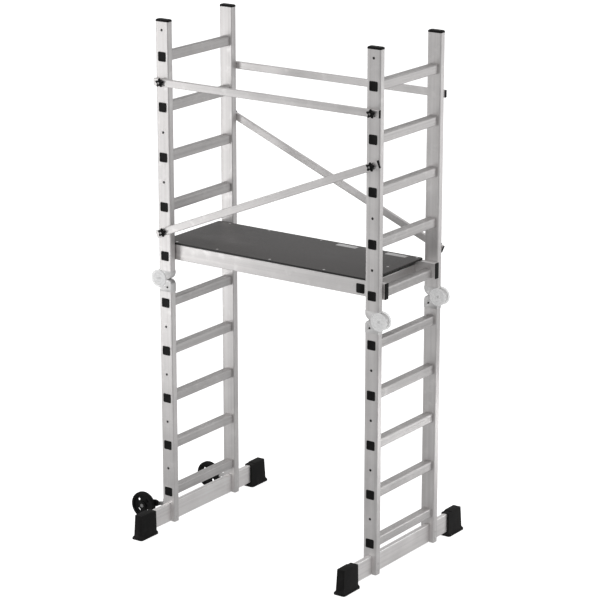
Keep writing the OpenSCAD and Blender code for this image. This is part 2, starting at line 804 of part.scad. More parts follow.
at_left() at_front() upper_stile();  // upper_stile_left_front
at_left() at_back() upper_stile();  // upper_stile_left_back
at_right() at_front() upper_stile();  // upper_stile_right_front
at_right() at_back() upper_stile();  // upper_stile_right_back
at_left() rungs(upper_rungs);  // upper_rungs_left
at_right() rungs(upper_rungs);  // upper_rungs_right
upper_rung_plugs();
stile_caps();
upper_hinge_blocks();
hinge_pins();
hinge_covers();
place_rail() guard_tube(ladder_span);  // guard_rail_front
mirror([0, 1, 0]) place_rail() guard_tube(ladder_span);  // guard_rail_back
place_brace() guard_tube(brace_span);  // brace_front
place_brace_back() guard_tube(brace_span);  // brace_back
tube_end_plugs();
guard_bolts();
star_knob(x_left, guard_z, 0);  // star_knob_rail_front_left
star_knob(x_right, guard_z, 0);  // star_knob_rail_front_right
star_knob(x_left, guard_z, 1);  // star_knob_rail_back_left
star_knob(x_right, guard_z, 1);  // star_knob_rail_back_right
star_knob(x_left, brace_low_z, 0);  // star_knob_brace_front_left
star_knob(x_right, brace_high_z, 0);  // star_knob_brace_front_right
star_knob(x_left, brace_high_z, 1);  // star_knob_brace_back_left
star_knob(x_right, brace_low_z, 1);  // star_knob_brace_back_right
at_left() at_front() lower_stile();  // lower_stile_left_front
at_left() at_back() lower_stile();  // lower_stile_left_back
at_left() rungs(lower_rungs);  // lower_rungs_left
at_left() rung_plugs(lower_rungs);  // lower_rung_plugs_left
at_left() lower_blocks();  // lower_hinge_blocks_left
at_left() base_bar();  // base_bar_left
at_left() feet();  // feet_left
at_left() base_rivets();  // base_rivets_left
at_left() wheel_arms();
at_left() wheel_straps();
at_left() wheel_axles();
at_left() wheel(0);  // wheel_front
at_left() wheel(1);  // wheel_back
at_right() at_front() lower_stile();  // lower_stile_right_front
at_right() at_back() lower_stile();  // lower_stile_right_back
at_right() rungs(lower_rungs);  // lower_rungs_right
at_right() rung_plugs(lower_rungs);  // lower_rung_plugs_right
at_right() lower_blocks();  // lower_hinge_blocks_right
at_right() base_bar();  // base_bar_right
at_right() feet();  // feet_right
at_right() base_rivets();  // base_rivets_right
at_left() at_front() lock_pin();  // lock_pin_left_front
at_left() at_back() lock_pin();  // lock_pin_left_back
at_right() at_front() lock_pin();  // lock_pin_right_front
at_right() at_back() lock_pin();  // lock_pin_right_back
platform_rail();  // platform_rail_front
mirror([0, 1, 0]) platform_rail();  // platform_rail_back
platform_transoms();
platform_deck();
platform_end_caps();
deck_rivets();
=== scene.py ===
# %% [markdown]
# A room scaffold in aluminium: two folding ladders, a platform hung between them, guard rails
# and braces. The working model already holds every tube, rung, hinge and wheel at its true size.
# This lesson gives those pieces their finishes, and builds again the ones whose look depends on
# moulded or formed shapes: plugs, caps, knobs, hinge covers, feet, wheels, rivets and the deck.
# Everything is in metres, in the frame of the working model, so a place is read from that model
# and never fitted by eye.

# %% Load the working model
import json
import math

import bmesh
import bpy
from mathutils import Matrix, Vector

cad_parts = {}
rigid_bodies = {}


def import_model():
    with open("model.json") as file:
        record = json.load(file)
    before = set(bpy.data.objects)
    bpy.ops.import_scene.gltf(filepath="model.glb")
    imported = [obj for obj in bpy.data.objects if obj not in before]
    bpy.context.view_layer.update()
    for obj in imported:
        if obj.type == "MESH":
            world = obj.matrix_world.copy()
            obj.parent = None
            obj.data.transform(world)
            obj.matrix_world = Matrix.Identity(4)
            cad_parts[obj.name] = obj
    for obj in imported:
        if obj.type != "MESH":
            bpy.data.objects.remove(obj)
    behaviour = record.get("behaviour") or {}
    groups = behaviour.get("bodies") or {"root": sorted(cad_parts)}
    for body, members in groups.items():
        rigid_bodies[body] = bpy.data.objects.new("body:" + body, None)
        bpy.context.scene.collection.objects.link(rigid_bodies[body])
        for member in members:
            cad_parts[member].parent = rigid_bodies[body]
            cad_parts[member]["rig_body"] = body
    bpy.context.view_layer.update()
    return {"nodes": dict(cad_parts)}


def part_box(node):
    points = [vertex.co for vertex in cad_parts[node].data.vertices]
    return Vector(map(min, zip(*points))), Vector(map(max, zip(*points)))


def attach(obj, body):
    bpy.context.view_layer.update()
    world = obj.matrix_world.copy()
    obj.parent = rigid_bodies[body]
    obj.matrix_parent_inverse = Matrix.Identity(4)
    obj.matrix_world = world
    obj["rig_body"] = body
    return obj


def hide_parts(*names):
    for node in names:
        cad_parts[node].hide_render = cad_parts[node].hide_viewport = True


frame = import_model()
mm = 0.001

# %% [markdown]
# The camera comes first, because every later choice is judged through it. The object is seen
# from in front and to its right, from a little above, through a long lens that keeps the
# uprights almost parallel. The camera is placed by three plain facts: the point it looks at, the
# direction it looks from, and its distance.

# %% Camera
AIM = Vector((0.082, 0.0, 1.234))
AZIMUTH = math.radians(35.22)
ELEVATION = math.radians(16.38)
DISTANCE = 12.536
LENS = 152.94
SENSOR = 36
FARTHEST = 200


def sight_line(azimuth, elevation):
    """The direction from the object to a viewer; azimuth 0 is straight in front."""
    flat = math.cos(elevation)
    return Vector((math.sin(azimuth) * flat, -math.cos(azimuth) * flat, math.sin(elevation)))


camera = bpy.data.objects.new("camera", bpy.data.cameras.new("camera"))
bpy.context.scene.collection.objects.link(camera)
camera.location = AIM + DISTANCE * sight_line(AZIMUTH, ELEVATION)
camera.rotation_euler = (math.pi / 2 - ELEVATION, 0, AZIMUTH)
camera.data.lens = LENS
camera.data.sensor_width = SENSOR
camera.data.clip_end = FARTHEST
bpy.context.scene.camera = camera
print("camera stands at", [round(v, 3) for v in camera.location])

# %% [markdown]
# A material is a small sum: streaks plus smudges, times a tone. Blender writes such sums as
# boxes and wires, which are hard to read in a script. This class wraps one output socket and
# turns +, -, * and > into Math nodes, so a sum reads like a sum. Every other node comes from
# its one method `node`, which takes the node's type, its settings and its inputs.

# %% Sums of sockets
class Wire:
    """One output socket of a material, which can be added, subtracted, multiplied and compared."""

    def __init__(self, tree, socket):
        self.tree = tree
        self.socket = socket

    def node(self, kind, settings=None, inputs=None, output=0):
        made = self.tree.nodes.new("ShaderNode" + kind)
        for name, value in (settings or {}).items():
            setattr(made, name, value)
        for name, value in (inputs or {}).items():
            if isinstance(value, Wire):
                self.tree.links.new(value.socket, made.inputs[name])
            else:
                made.inputs[name].default_value = value
        return Wire(self.tree, made.outputs[output])

    def sum_of(self, operation, first, second):
        return self.node("Math", {"operation": operation}, {0: first, 1: second})

    def __add__(self, other):
        return self.sum_of("ADD", self, other)

    def __radd__(self, other):
        return self.sum_of("ADD", other, self)

    def __sub__(self, other):
        return self.sum_of("SUBTRACT", self, other)

    def __rsub__(self, other):
        return self.sum_of("SUBTRACT", other, self)

    def __mul__(self, other):
        return self.sum_of("MULTIPLY", self, other)

    def __rmul__(self, other):
        return self.sum_of("MULTIPLY", other, self)

    def __gt__(self, other):
        return self.sum_of("GREATER_THAN", self, other)


print("a wire adds, subtracts, multiplies and compares")

# %% [markdown]
# A few words cover most of what happens on a surface. `stretched` pulls the pattern's grid out
# along one direction, as an extrusion die or a brush does. `cloud` is soft noise for smudges and
# dust, and `between` is a smooth step that turns such noise into separate patches. `blend`
# mixes two colours, because a Math node would turn a colour grey, and `bumped` turns a height
# into small dents. `finish` gathers them into one material.

# %% Words for surfaces
def stretched(place, scale):
    """The place on the piece with each axis multiplied by its own scale, in cells per metre."""
    return place.node("VectorMath", {"operation": "MULTIPLY"}, {0: place, 1: scale})


def cloud(place, scale, detail=2.0):
    return place.node("TexNoise", {}, {"Vector": place, "Scale": scale, "Detail": detail})


def between(wire, low, high):
    """0 below low, 1 above high, and smooth in between."""
    settings = {"interpolation_type": "SMOOTHSTEP"}
    return wire.node("MapRange", settings, {"Value": wire, "From Min": low, "From Max": high})


def blend(mask, below, above):
    settings = {"data_type": "RGBA"}
    return mask.node("Mix", settings, {"Factor": mask, 6: below, 7: above}, output=2)


def bumped(height, depth, strength=1.0):
    """A surface direction tilted by a height; depth is how deep a height of 1 is, in metres."""
    return height.node("Bump", {}, {"Height": height, "Distance": depth, "Strength": strength})


def grey(level, warmth=0.0):
    """A colour of one brightness; warmth lifts the red, and lowers the blue a little."""
    return (level * (1 + warmth), level, level * (1 - 0.3 * warmth), 1.0)


def finish(name, recipe, **facts):
    """Makes a material: recipe returns what varies over the surface, and facts are constants."""
    material = bpy.data.materials.new(name)
    material.use_nodes = True
    tree = material.node_tree
    shader = tree.nodes["Principled BSDF"]
    place = Wire(tree, tree.nodes.new("ShaderNodeTexCoord").outputs["Object"])
    for socket, wire in recipe(place).items():
        tree.links.new(wire.socket, shader.inputs[socket])
    for socket, value in facts.items():
        shader.inputs[socket.replace("_", " ")].default_value = value
    print("finish", name, "has", len(tree.nodes), "nodes")
    return material


print("a grey of 0.5, a little warm:", grey(0.5, 0.1))

# %% [markdown]
# The tubes are extruded aluminium with no coating. The die leaves fine lines along the tube, a
# millimetre or less apart, and handling leaves soft smudges and short scratches that catch the
# light. All of it runs along the tube, so the same recipe is used for every tube, with the axis
# it runs along. The sloping braces turn the pattern with a Mapping node.

# %% Extruded aluminium
# Cells of the die-line pattern in one metre, across the tube and along it
ACROSS = 520.0
ALONG = 3.0
# The wider bands have this share of those cells
BAND_SHARE = 0.12


def extruded(axis, tone, warmth=0.025, slope=0.0):
    """A recipe for bare extruded aluminium whose die lines run along one axis."""
    grid = [ACROSS] * 3
    grid["XYZ".index(axis)] = ALONG

    def recipe(place):
        turned = place.node("Mapping", {}, {"Vector": place, "Rotation": (0.0, slope, 0.0)})
        lines = cloud(stretched(turned, grid), 1.0, 3.0)
        bands = cloud(stretched(turned, [g * BAND_SHARE for g in grid]), 1.0, 2.0)
        smudge = cloud(place, 7.0, 4.0)
        rubbed = between(cloud(place, 23.0, 5.0), 0.55, 0.75)
        nick = between(cloud(stretched(turned, [g ** 0.5 * 14 for g in grid]), 1.0, 1.0), 0.74, 0.78)
        shade = lines * 0.22 + bands * 0.38 + smudge * 0.40
        colour = blend(between(shade, 0.34, 0.66), grey(tone * 0.88, warmth), grey(tone * 1.08, warmth))
        worn = blend(rubbed * 0.35 + nick * 0.4, colour, grey(min(tone * 1.22, 0.95), warmth))
        rough = 0.30 + lines * 0.10 + smudge * 0.16 - rubbed * 0.05 + nick * 0.1
        height = lines * 0.6 + bands * 0.3 - nick * 0.8
        return {"Base Color": worn, "Roughness": rough, "Normal": bumped(height, 0.08 * mm, 0.7)}

    return recipe


METALLIC = 0.86
TONE = 0.76
brace_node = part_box("brace_front")
rail_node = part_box("guard_rail_front")
brace_rise = (brace_node[1].z - brace_node[0].z) - (rail_node[1].z - rail_node[0].z)
brace_slope = math.atan2(brace_rise, brace_node[1].x - brace_node[0].x)
stile_metal = finish("stile_metal_upright", extruded("Z", TONE), Metallic=METALLIC)
# Painted shade: the rungs and transoms are the same aluminium as the stiles, made darker by colour alone
rung_shaded_metal = finish("rung_painted_shade_metal", extruded("Y", TONE * 0.86), Metallic=METALLIC)
# Painted light: the base bars are the same aluminium as the stiles, made lighter by colour alone
bar_lit_metal = finish("bar_painted_light_metal", extruded("Y", TONE * 1.25), Metallic=METALLIC)
rail_metal = finish("rail_metal_long", extruded("X", TONE), Metallic=METALLIC)
brace_metal = finish("brace_metal_rising", extruded("X", TONE, slope=brace_slope), Metallic=METALLIC)
brace_back_metal = finish("brace_metal_falling", extruded("X", TONE, slope=-brace_slope), Metallic=METALLIC)
print("braces rise", round(math.degrees(brace_slope), 1), "degrees")

# %% [markdown]
# The hinge blocks are cast and then bead blasted, which leaves an even, sandy face with shiny
# spots where edges are rubbed. The wheel straps and rivets are zinc-plated steel: brighter, with a
# faint crystal pattern, which cells of random tone give well. Bolts, pins and axles take the same
# recipe much darker, as painted shade, so the bolt ends sunk in the knob holes read as shaded.

# %% Cast aluminium and zinc-plated steel
def cast(place):
    sand = cloud(place, 900.0, 2.0)
    pool = cloud(place, 16.0, 4.0)
    rub = between(cloud(place, 60.0, 4.0), 0.56, 0.72)
    colour = blend(between(pool, 0.3, 0.7), grey(TONE * 0.88, 0.01), grey(TONE * 1.08, 0.01))
    bright = blend(rub * 0.5, colour, grey(TONE * 1.3))
    rough = 0.42 + sand * 0.16 - rub * 0.12
    relief = bumped(sand + pool * 0.6, 0.12 * mm, 0.8)
    return {"Base Color": bright, "Roughness": rough, "Normal": relief}


def plated(dull, bright):
    """A recipe for plated metal whose tone lies between two levels."""

    def recipe(place):
        crystal = place.node("TexVoronoi", {}, {"Vector": place, "Scale": 260.0}, output="Color")
        spangle = crystal.node("RGBToBW", {}, {"Color": crystal})
        film = cloud(place, 34.0, 4.0)
        tint = blend(between(film, 0.4, 0.7), grey(dull, 0.03), grey(bright))
        colour = blend(spangle * 0.30, tint, grey(bright * 1.1))
        rough = 0.24 + film * 0.2 + spangle * 0.08
        relief = bumped(film + spangle * 0.3, 0.03 * mm)
        return {"Base Color": colour, "Roughness": rough, "Normal": relief}

    return recipe


cast_metal = finish("cast_metal_blasted", cast, Metallic=METALLIC)
# Painted shade: the same plated steel made darker, so the bolt ends sunk in the knob holes read as shaded
bolt_shaded_steel = finish("bolt_painted_shade_steel", plated(0.26, 0.36), Metallic=1.0)
zinc_steel = finish("zinc_steel_plated", plated(0.66, 0.82), Metallic=1.0)

# %% [markdown]
# Moulded black plastic is never quite black: the mould has a fine leather-like grain, dust sits
# in it, and corners rub to a lighter grey. The wheels have a coarser grain than the plugs and
# knobs. The boots are rubber, rougher and dustier, and their dust grows towards the floor.

# %% Black plastic and rubber
def moulded(grain, base, gloss):
    """A recipe for grained plastic: cells of grain in a metre, its tone and its roughness."""

    def recipe(place):
        pebbles = place.node("TexVoronoi", {}, {"Vector": place, "Scale": grain})
        mottle = cloud(place, 45.0, 5.0)
        scuff = between(cloud(stretched(place, (70.0, 240.0, 90.0)), 1.0, 4.0), 0.60, 0.74)
        colour = blend(between(mottle, 0.35, 0.7), grey(base * 0.75), grey(base * 1.6, 0.02))
        dusty = blend(scuff * 0.35, colour, grey(base * 5.0, 0.03))
        rough = gloss + mottle * 0.18 + scuff * 0.12
        height = pebbles * 0.7 + mottle * 0.3
        return {"Base Color": dusty, "Roughness": rough, "Normal": bumped(height, 0.10 * mm, 0.8)}

    return recipe


DUSTY_BELOW = 0.09


def ground_rubber(place):
    height = place.node("SeparateXYZ", {}, {"Vector": place}, output="Z")
    specks = cloud(place, 380.0, 3.0)
    patch = cloud(place, 30.0, 5.0)
    low = 1 - between(height, 0.0, DUSTY_BELOW)
    dust = between(patch, 0.42, 0.72) * (0.25 + low * 0.75)
    colour = blend(between(specks, 0.3, 0.7), grey(0.006, 0.04), grey(0.014, 0.04))
    dusty = blend(dust * 0.16, colour, grey(0.12, 0.06))
    rough = 0.52 + specks * 0.16 + dust * 0.2
    return {"Base Color": dusty, "Roughness": rough, "Normal": bumped(specks + patch, 0.16 * mm, 0.8)}


BLACK_GLOSS = 0.14
BLACK_TONE = 0.006
fine_grain = moulded(900.0, BLACK_TONE, 0.34)
coarse_grain = moulded(520.0, BLACK_TONE, 0.40)
black_plastic = finish("black_plastic_grained", fine_grain, Specular_IOR_Level=BLACK_GLOSS)
wheel_plastic = finish("wheel_plastic_moulded", coarse_grain, Specular_IOR_Level=BLACK_GLOSS)
foot_rubber = finish("foot_rubber_dusty", ground_rubber, Specular_IOR_Level=BLACK_GLOSS)

# %% [markdown]
# The round hinge covers are a milky, half-clear plastic. Real light scattering is slow and is
# lost when a model is exported, so the cover is a pale plastic that lets part of the view through,
# by its Alpha, and gives off a trace of light for what would scatter in it. The milkiness is
# uneven, as in any thick moulding.

# %% Milky plastic
def milky(place):
    swirl = cloud(place, 55.0, 4.0)
    flow = cloud(stretched(place, (160.0, 40.0, 160.0)), 1.0, 3.0)
    rub = between(cloud(place, 90.0, 4.0), 0.62, 0.80)
    colour = blend(between(swirl, 0.3, 0.7), grey(0.88), grey(0.96))
    rough = 0.16 + flow * 0.16 + rub * 0.2
    body = 0.50 + swirl * 0.16 + rub * 0.14
    relief = bumped(flow + rub * 0.2, 0.03 * mm)
    return {"Base Color": colour, "Roughness": rough, "Alpha": body, "Normal": relief}


LIT_THROUGH = 0.15
cover_plastic = finish("cover_plastic_milky", milky, IOR=1.49, Emission_Color=grey(1.0),
                       Emission_Strength=LIT_THROUGH)

# %% [markdown]
# The deck is plywood faced with a dark resin film. The film carries a fine woven print that
# gives grip, and feet polish it and leave pale scuffs along the middle. The sawn edges are
# sealed with black paint. Two crossed waves make the weave, and height tells face from edge.

# %% Deck film and label
deck_low, deck_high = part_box("platform_deck")
# Scale of the two waves whose crossing makes the woven print
PRINT = 175.0
# How far below its top the board still counts as face
FACE_DEPTH = 0.4 * mm


def deck_film(place):
    height = place.node("SeparateXYZ", {}, {"Vector": place}, output="Z")
    face = height > deck_high.z - FACE_DEPTH
    waves = {"Scale": PRINT, "Distortion": 0.0}
    warp = place.node("TexWave", {"bands_direction": "X"}, {"Vector": place, **waves})
    weft = place.node("TexWave", {"bands_direction": "Y"}, {"Vector": place, **waves})
    weave = warp * weft
    worn = cloud(stretched(place, (2.4, 4.5, 1.0)), 1.0, 5.0)
    path = between(worn, 0.42, 0.72)
    scratch = between(cloud(stretched(place, (16.0, 420.0, 1.0)), 1.0, 2.0), 0.70, 0.76)
    dust = between(cloud(place, 60.0, 6.0), 0.5, 0.8)
    film = blend(weave * 0.5, grey(0.080, 0.07), grey(0.106, 0.065))
    walked = blend(path * 0.30 + dust * 0.12, film, grey(0.165, 0.05))
    marked = blend(scratch * path * 0.5, walked, grey(0.26, 0.02))
    sealed = blend(face, grey(0.010, 0.05), marked)
    rough = 0.46 - path * 0.05 + dust * 0.1 + weave * 0.06
    relief = weave * face - scratch * 0.2
    return {"Base Color": sealed, "Roughness": rough, "Normal": bumped(relief, 0.14 * mm, 0.8)}


def label_film(place):
    fade = cloud(place, 26.0, 4.0)
    chip = between(cloud(place, 150.0, 5.0), 0.66, 0.72)
    colour = blend(between(fade, 0.3, 0.7), grey(0.62, 0.01), grey(0.74, 0.01))
    chipped = blend(chip * 0.6, colour, grey(0.30, 0.02))
    rough = 0.36 + fade * 0.2
    return {"Base Color": chipped, "Roughness": rough, "Normal": bumped(fade - chip * 0.5, 0.05 * mm)}


deck_board = finish("deck_board_film", deck_film)
label_vinyl = finish("label_vinyl", label_film)

# %% [markdown]
# Most tubes are right as they are, so they keep their working shape and only take a finish.
# A working piece is never moved or reshaped. Its material slot is filled, and that is all.

# %% Tubes that keep their shape
def coat(nodes, material):
    for name in nodes:
        data = frame["nodes"][name].data
        data.materials.clear()
        data.materials.append(material)


ENDS = ("front", "back")
SIDES = ("left", "right")
stiles = [f"{level}_stile_{side}_{end}" for level in ("upper", "lower") for side in SIDES for end in ENDS]
rungs = [f"{level}_rungs_{side}" for level in ("upper", "lower") for side in SIDES]
rails = [f"{kind}_rail_{end}" for kind in ("guard", "platform") for end in ENDS]
COATS = ((stiles, stile_metal),
         (rungs + ["platform_transoms"], rung_shaded_metal),
         ([f"base_bar_{side}" for side in SIDES], bar_lit_metal),
         (rails, rail_metal),
         (["brace_front"], brace_metal),
         (["brace_back"], brace_back_metal),
         (["hinge_pins", "guard_bolts", "wheel_axles"], bolt_shaded_steel))
for nodes, material in COATS:
    coat(nodes, material)
print(sum(len(nodes) for nodes, material in COATS), "working pieces keep their shape")

# %% [markdown]
# Cast and moulded pieces have no sharp edges, and a rounded edge is what catches light. The
# working shapes are right, so each is copied, its loose triangles are merged and its flat faces
# joined, and a Bevel modifier then rounds every edge over 30 degrees.

# %% Rounded copies
# Points nearer than this are one point, and faces that turn less than this are one face
SAME_POINT = 0.01 * mm
SAME_FACE = math.radians(0.6)
# Edges that turn more than this are rounded
SHARP = math.radians(30)


def belongs(piece, material, body, nodes=()):
    """Gives a finished piece its material, its body and the working pieces it stands for."""
    piece.data.materials.clear()
    piece.data.materials.append(material)
    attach(piece, body)
    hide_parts(*nodes)
    return piece


def body_of(node):
    return frame["nodes"][node]["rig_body"]


def new_piece(name, mesh):
    piece = bpy.data.objects.new(name, mesh)
    bpy.context.scene.collection.objects.link(piece)
    return piece


def smooth_by_angle(mesh, degrees=35):
    mesh.shade_smooth()
    mesh.set_sharp_from_angle(angle=math.radians(degrees))


def baked(piece):
    """Turns a piece with modifiers into a plain mesh of its own."""
    bpy.context.view_layer.update()
    graph = bpy.context.evaluated_depsgraph_get()
    mesh = bpy.data.meshes.new_from_object(piece.evaluated_get(graph), depsgraph=graph)
    piece.modifiers.clear()
    piece.data = mesh
    return piece


def rounded_copy(node, name, edge, material, segments=2):
    """A copy of a working piece whose sharp edges are rounded by edge."""
    mesh = frame["nodes"][node].data.copy()
    form = bmesh.new()
    form.from_mesh(mesh)
    bmesh.ops.remove_doubles(form, verts=form.verts, dist=SAME_POINT)
    bmesh.ops.dissolve_limit(form, angle_limit=SAME_FACE, verts=form.verts, edges=form.edges)
    form.to_mesh(mesh)
    form.free()
    piece = new_piece(name, mesh)
    bevel = piece.modifiers.new("rounding", "BEVEL")
    bevel.width = edge
    bevel.segments = segments
    bevel.limit_method = "ANGLE"
    bevel.angle_limit = SHARP
    bevel.use_clamp_overlap = True
    baked(piece)
    smooth_by_angle(piece.data)
    print(name, "has", len(piece.data.polygons), "faces")
    return belongs(piece, material, body_of(node), [node])


CAST_EDGE = 1.2 * mm
rounded_copy("upper_hinge_blocks", "hinge_forks", CAST_EDGE, cast_metal)
for side in SIDES:
    rounded_copy(f"lower_hinge_blocks_{side}", f"hinge_tongues_{side}", CAST_EDGE, cast_metal)
rounded_copy("wheel_arms", "wheel_arms_moulded", 1.5 * mm, black_plastic)
rounded_copy("wheel_straps", "wheel_straps_pressed", 0.6 * mm, zinc_steel)
rounded_copy("tube_end_plugs", "tube_plugs_moulded", 0.5 * mm, black_plastic)
rounded_copy("platform_end_caps", "platform_caps_moulded", 0.7 * mm, black_plastic)
for side in SIDES:
    for end in ENDS:
        pin = f"lock_pin_{side}_{end}"
        rounded_copy(pin, f"{pin}_button", 0.9 * mm, black_plastic, 3)

# %% [markdown]
# Many moulded pieces are a stack of outlines: a cap is a rounded rectangle that shrinks as it
# rises, a knob is a circle that swells into a star and back. `loft` skins such a stack. Its ends
# are capped, or joined to each other where the piece has a hole through its middle.

# %% Outlines and lofts
def rounded_outline(width, depth, corner, steps=6):
    """Points round a rectangle with round corners, anticlockwise."""
    corner = min(corner, width / 2 - SAME_POINT, depth / 2 - SAME_POINT)
    points = []
    for turn, (sx, sy) in enumerate(((1, 1), (-1, 1), (-1, -1), (1, -1))):
        for step in range(steps + 1):
            angle = math.pi / 2 * (turn + step / steps)
            points.append((sx * (width / 2 - corner) + corner * math.cos(angle),
                           sy * (depth / 2 - corner) + corner * math.sin(angle)))
    return points


def round_outline(radius, count=72):
    """Points round a circle, anticlockwise."""
    turns = [2 * math.pi * i / count for i in range(count)]
    return [(radius * math.cos(a), radius * math.sin(a)) for a in turns]


def loft(stack, place=Matrix.Identity(4), through=False):
    """A closed mesh through a stack of (outline, height). through joins the last to the first."""
    form = bmesh.new()
    rings = [[form.verts.new(place @ Vector((x, y, height))) for x, y in outline]
             for outline, height in stack]
    pairs = list(zip(rings, rings[1:])) + ([(rings[-1], rings[0])] if through else [])
    for low, high in pairs:
        for i in range(len(low)):
            j = (i + 1) % len(low)
            form.faces.new((low[i], low[j], high[j], high[i]))
    if not through:
        form.faces.new(rings[0])
        form.faces.new(rings[-1])
    bmesh.ops.recalc_face_normals(form, faces=form.faces)
    return form


def joined(name, forms, smooth=35):
    """One mesh made of several closed forms."""
    mesh = bpy.data.meshes.new(name)
    whole = bmesh.new()
    for form in forms:
        part = bpy.data.meshes.new("part")
        form.to_mesh(part)
        form.free()
        whole.from_mesh(part)
        bpy.data.meshes.remove(part)
    whole.to_mesh(mesh)
    whole.free()
    smooth_by_angle(mesh, smooth)
    print(name, "has", len(mesh.polygons), "faces in", len(forms), "forms")
    return new_piece(name, mesh)


def facing(origin, out):
    """A placing matrix whose local Z points out of a surface, with local Y kept upright."""
    out = Vector(out).normalized()
    up = Vector((0, 0, 1)) if abs(out.z) < 0.9 else Vector((0, 1, 0))
    side = up.cross(out).normalized()
    up = out.cross(side)
    turn = Matrix((side, up, out)).transposed().to_4x4()
    return Matrix.Translation(Vector(origin)) @ turn


print("a rounded outline has", len(rounded_outline(2, 1, 0.1)), "points")

# %% [markdown]
# The top of each stile is closed by a black cap. It has a short straight skirt and a low dome,
# so the top ring shrinks along a quarter of an ellipse.

# %% Stile caps
def middle(box):
    return (box[0] + box[1]) / 2


def stile_axis(side, end):
    """The middle of an upper stile in plan, and the height of its top."""
    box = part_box(f"upper_stile_{side}_{end}")
    centre = middle(box)
    return centre.x, centre.y, box[1].z


stile_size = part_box("upper_stile_left_front")[1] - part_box("upper_stile_left_front")[0]
cap_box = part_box("stile_caps")
cap_rise = cap_box[1].z - stile_axis("left", "front")[2]
# The skirt's share of the cap's height, and how far the dome draws in
SKIRT = 0.45
CAP_INSET = 9 * mm
OVERHANG = 1 * mm
CAP_CORNER = 7 * mm
CAP_CHAMFER = 0.5 * mm
DOME_STEPS = 7


def cap_form(x, y, z):
    width = stile_size.x + 2 * OVERHANG
    depth = stile_size.y + 2 * OVERHANG
    foot = rounded_outline(width - 2 * CAP_CHAMFER, depth - 2 * CAP_CHAMFER, CAP_CORNER - CAP_CHAMFER)
    skirt = rounded_outline(width, depth, CAP_CORNER)
    stack = [(foot, 0), (skirt, CAP_CHAMFER), (skirt, cap_rise * SKIRT)]
    for step in range(1, DOME_STEPS + 1):
        angle = math.pi / 2 * step / DOME_STEPS
        shrink = 2 * CAP_INSET * (1 - math.cos(angle))
        rise = cap_rise * (SKIRT + (1 - SKIRT) * math.sin(angle))
        stack.append((rounded_outline(width - shrink, depth - shrink, CAP_CORNER), rise))
    return loft(stack, Matrix.Translation((x, y, z)))


caps = []
for side in SIDES:
    for end in ENDS:
        x, y, top = stile_axis(side, end)
        caps.append(cap_form(x, y, top))
belongs(joined("stile_caps_domed", caps), black_plastic, "upper_frame", ["stile_caps"])

# %% [markdown]
# Each hinge is hidden behind a round cover with a raised rim, a shallow step and a hub, snapped
# on the end of the hinge pin. It is a turned shape, so it is a loft of circles. The covers of
# one hinge are mirror images, one on each face of the stile.

# %% Hinge covers
cover_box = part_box("hinge_covers")
hinge_z = middle(cover_box).z
cover_radius = (cover_box[1].z - cover_box[0].z) / 2
hinge_out = middle(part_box("upper_stile_left_front")).x - (cover_box[0].x + cover_radius)
cover_rise = cover_box[1].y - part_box("upper_stile_left_back")[1].y
FACE_GAP = 0.3 * mm
# Each pair is a share of the cover's radius and a share of its rise: rim, dish, ring and hub
COVER_PROFILE = [(0.985, 0.0), (1.0, 0.08), (1.0, 0.55), (0.99, 0.68), (0.965, 0.76), (0.93, 0.76),
                 (0.905, 0.68), (0.89, 0.50), (0.70, 0.46), (0.68, 0.60), (0.655, 0.66), (0.63, 0.60),
                 (0.61, 0.46), (0.37, 0.46), (0.35, 0.86), (0.325, 0.98), (0.29, 1.0), (0.16, 1.0),
                 (0.14, 0.90), (0.13, 0.62), (0.03, 0.60)]


def cover_form(x, y, out):
    stack = [(round_outline(cover_radius * r), (cover_rise - FACE_GAP) * h) for r, h in COVER_PROFILE]
    return loft(stack, facing((x, y + out * FACE_GAP, hinge_z), (0, out, 0)))


def hinge_places():
    """Where the hinge covers sit: one on each face of each stile."""
    for side in SIDES:
        for end in ENDS:
            x, y = stile_axis(side, end)[:2]
            outward = -1 if side == "left" else 1
            for out in (-1, 1):
                yield x + outward * hinge_out, y + out * stile_size.y / 2, out


covers = [cover_form(*where) for where in hinge_places()]
turned_covers = joined("hinge_covers_milky", covers)
belongs(turned_covers, cover_plastic, "upper_frame", ["hinge_covers"])

# %% [markdown]
# The star knobs clamp the rails and braces. Seen from in front a knob is a star of five round
# lobes, and from the side it is a slim boss, a thick waist and a raised hub round the bolt. All
# of its rings have the same number of points, so a circle can grow into a star. A cosine of five
# times the angle makes the lobes.

# %% Star knobs
knob_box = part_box("star_knob_rail_front_left")
knob_reach = knob_box[1].z - middle(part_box("guard_rail_front")).z
knob_depth = knob_box[1].y - knob_box[0].y
LOBES = 5
VALLEY = 0.60
LOBE_SHARPNESS = 1.15
KNOB_POINTS = 100
BOLT_HOLE = 5.1
# Boss and hub: radius in millimetres, and height as a share of the knob's depth
BOSS = ((BOLT_HOLE, 0), (9.0, 0), (9.6, 0.6 * mm / knob_depth), (9.8, 0.24))
HUB = ((9.4, 0.90), (8.8, 0.98), (8.2, 1), (6.6, 1), (6.2, 0.96), (5.9, 0.88), (BOLT_HOLE, 0.87))
# Star: how far it lies inside its full size in millimetres, and height as for the boss
STAR = ((3.2, 0.27), (1.2, 0.30), (0.3, 0.36), (0, 0.46), (0, 0.66), (0.4, 0.76), (1.4, 0.83),
        (3.0, 0.87), (4.6, 0.885))


def star_outline(inset):
    points = []
    for i in range(KNOB_POINTS):
        angle = 2 * math.pi * i / KNOB_POINTS
        lobe = ((1 + math.cos(LOBES * (angle - math.pi / 2))) / 2) ** LOBE_SHARPNESS
        radius = knob_reach * (VALLEY + (1 - VALLEY) * lobe) - inset
        points.append((radius * math.cos(angle), radius * math.sin(angle)))
    return points


def circles(rows):
    return [(round_outline(radius * mm, KNOB_POINTS), knob_depth * share) for radius, share in rows]


def knob_form(place):
    """A boss, a star and a hub round one bolt, made as one stack of rings."""
    stars = [(star_outline(inset * mm), knob_depth * share) for inset, share in STAR]
    return loft(circles(BOSS) + stars + circles(HUB), place, through=True)


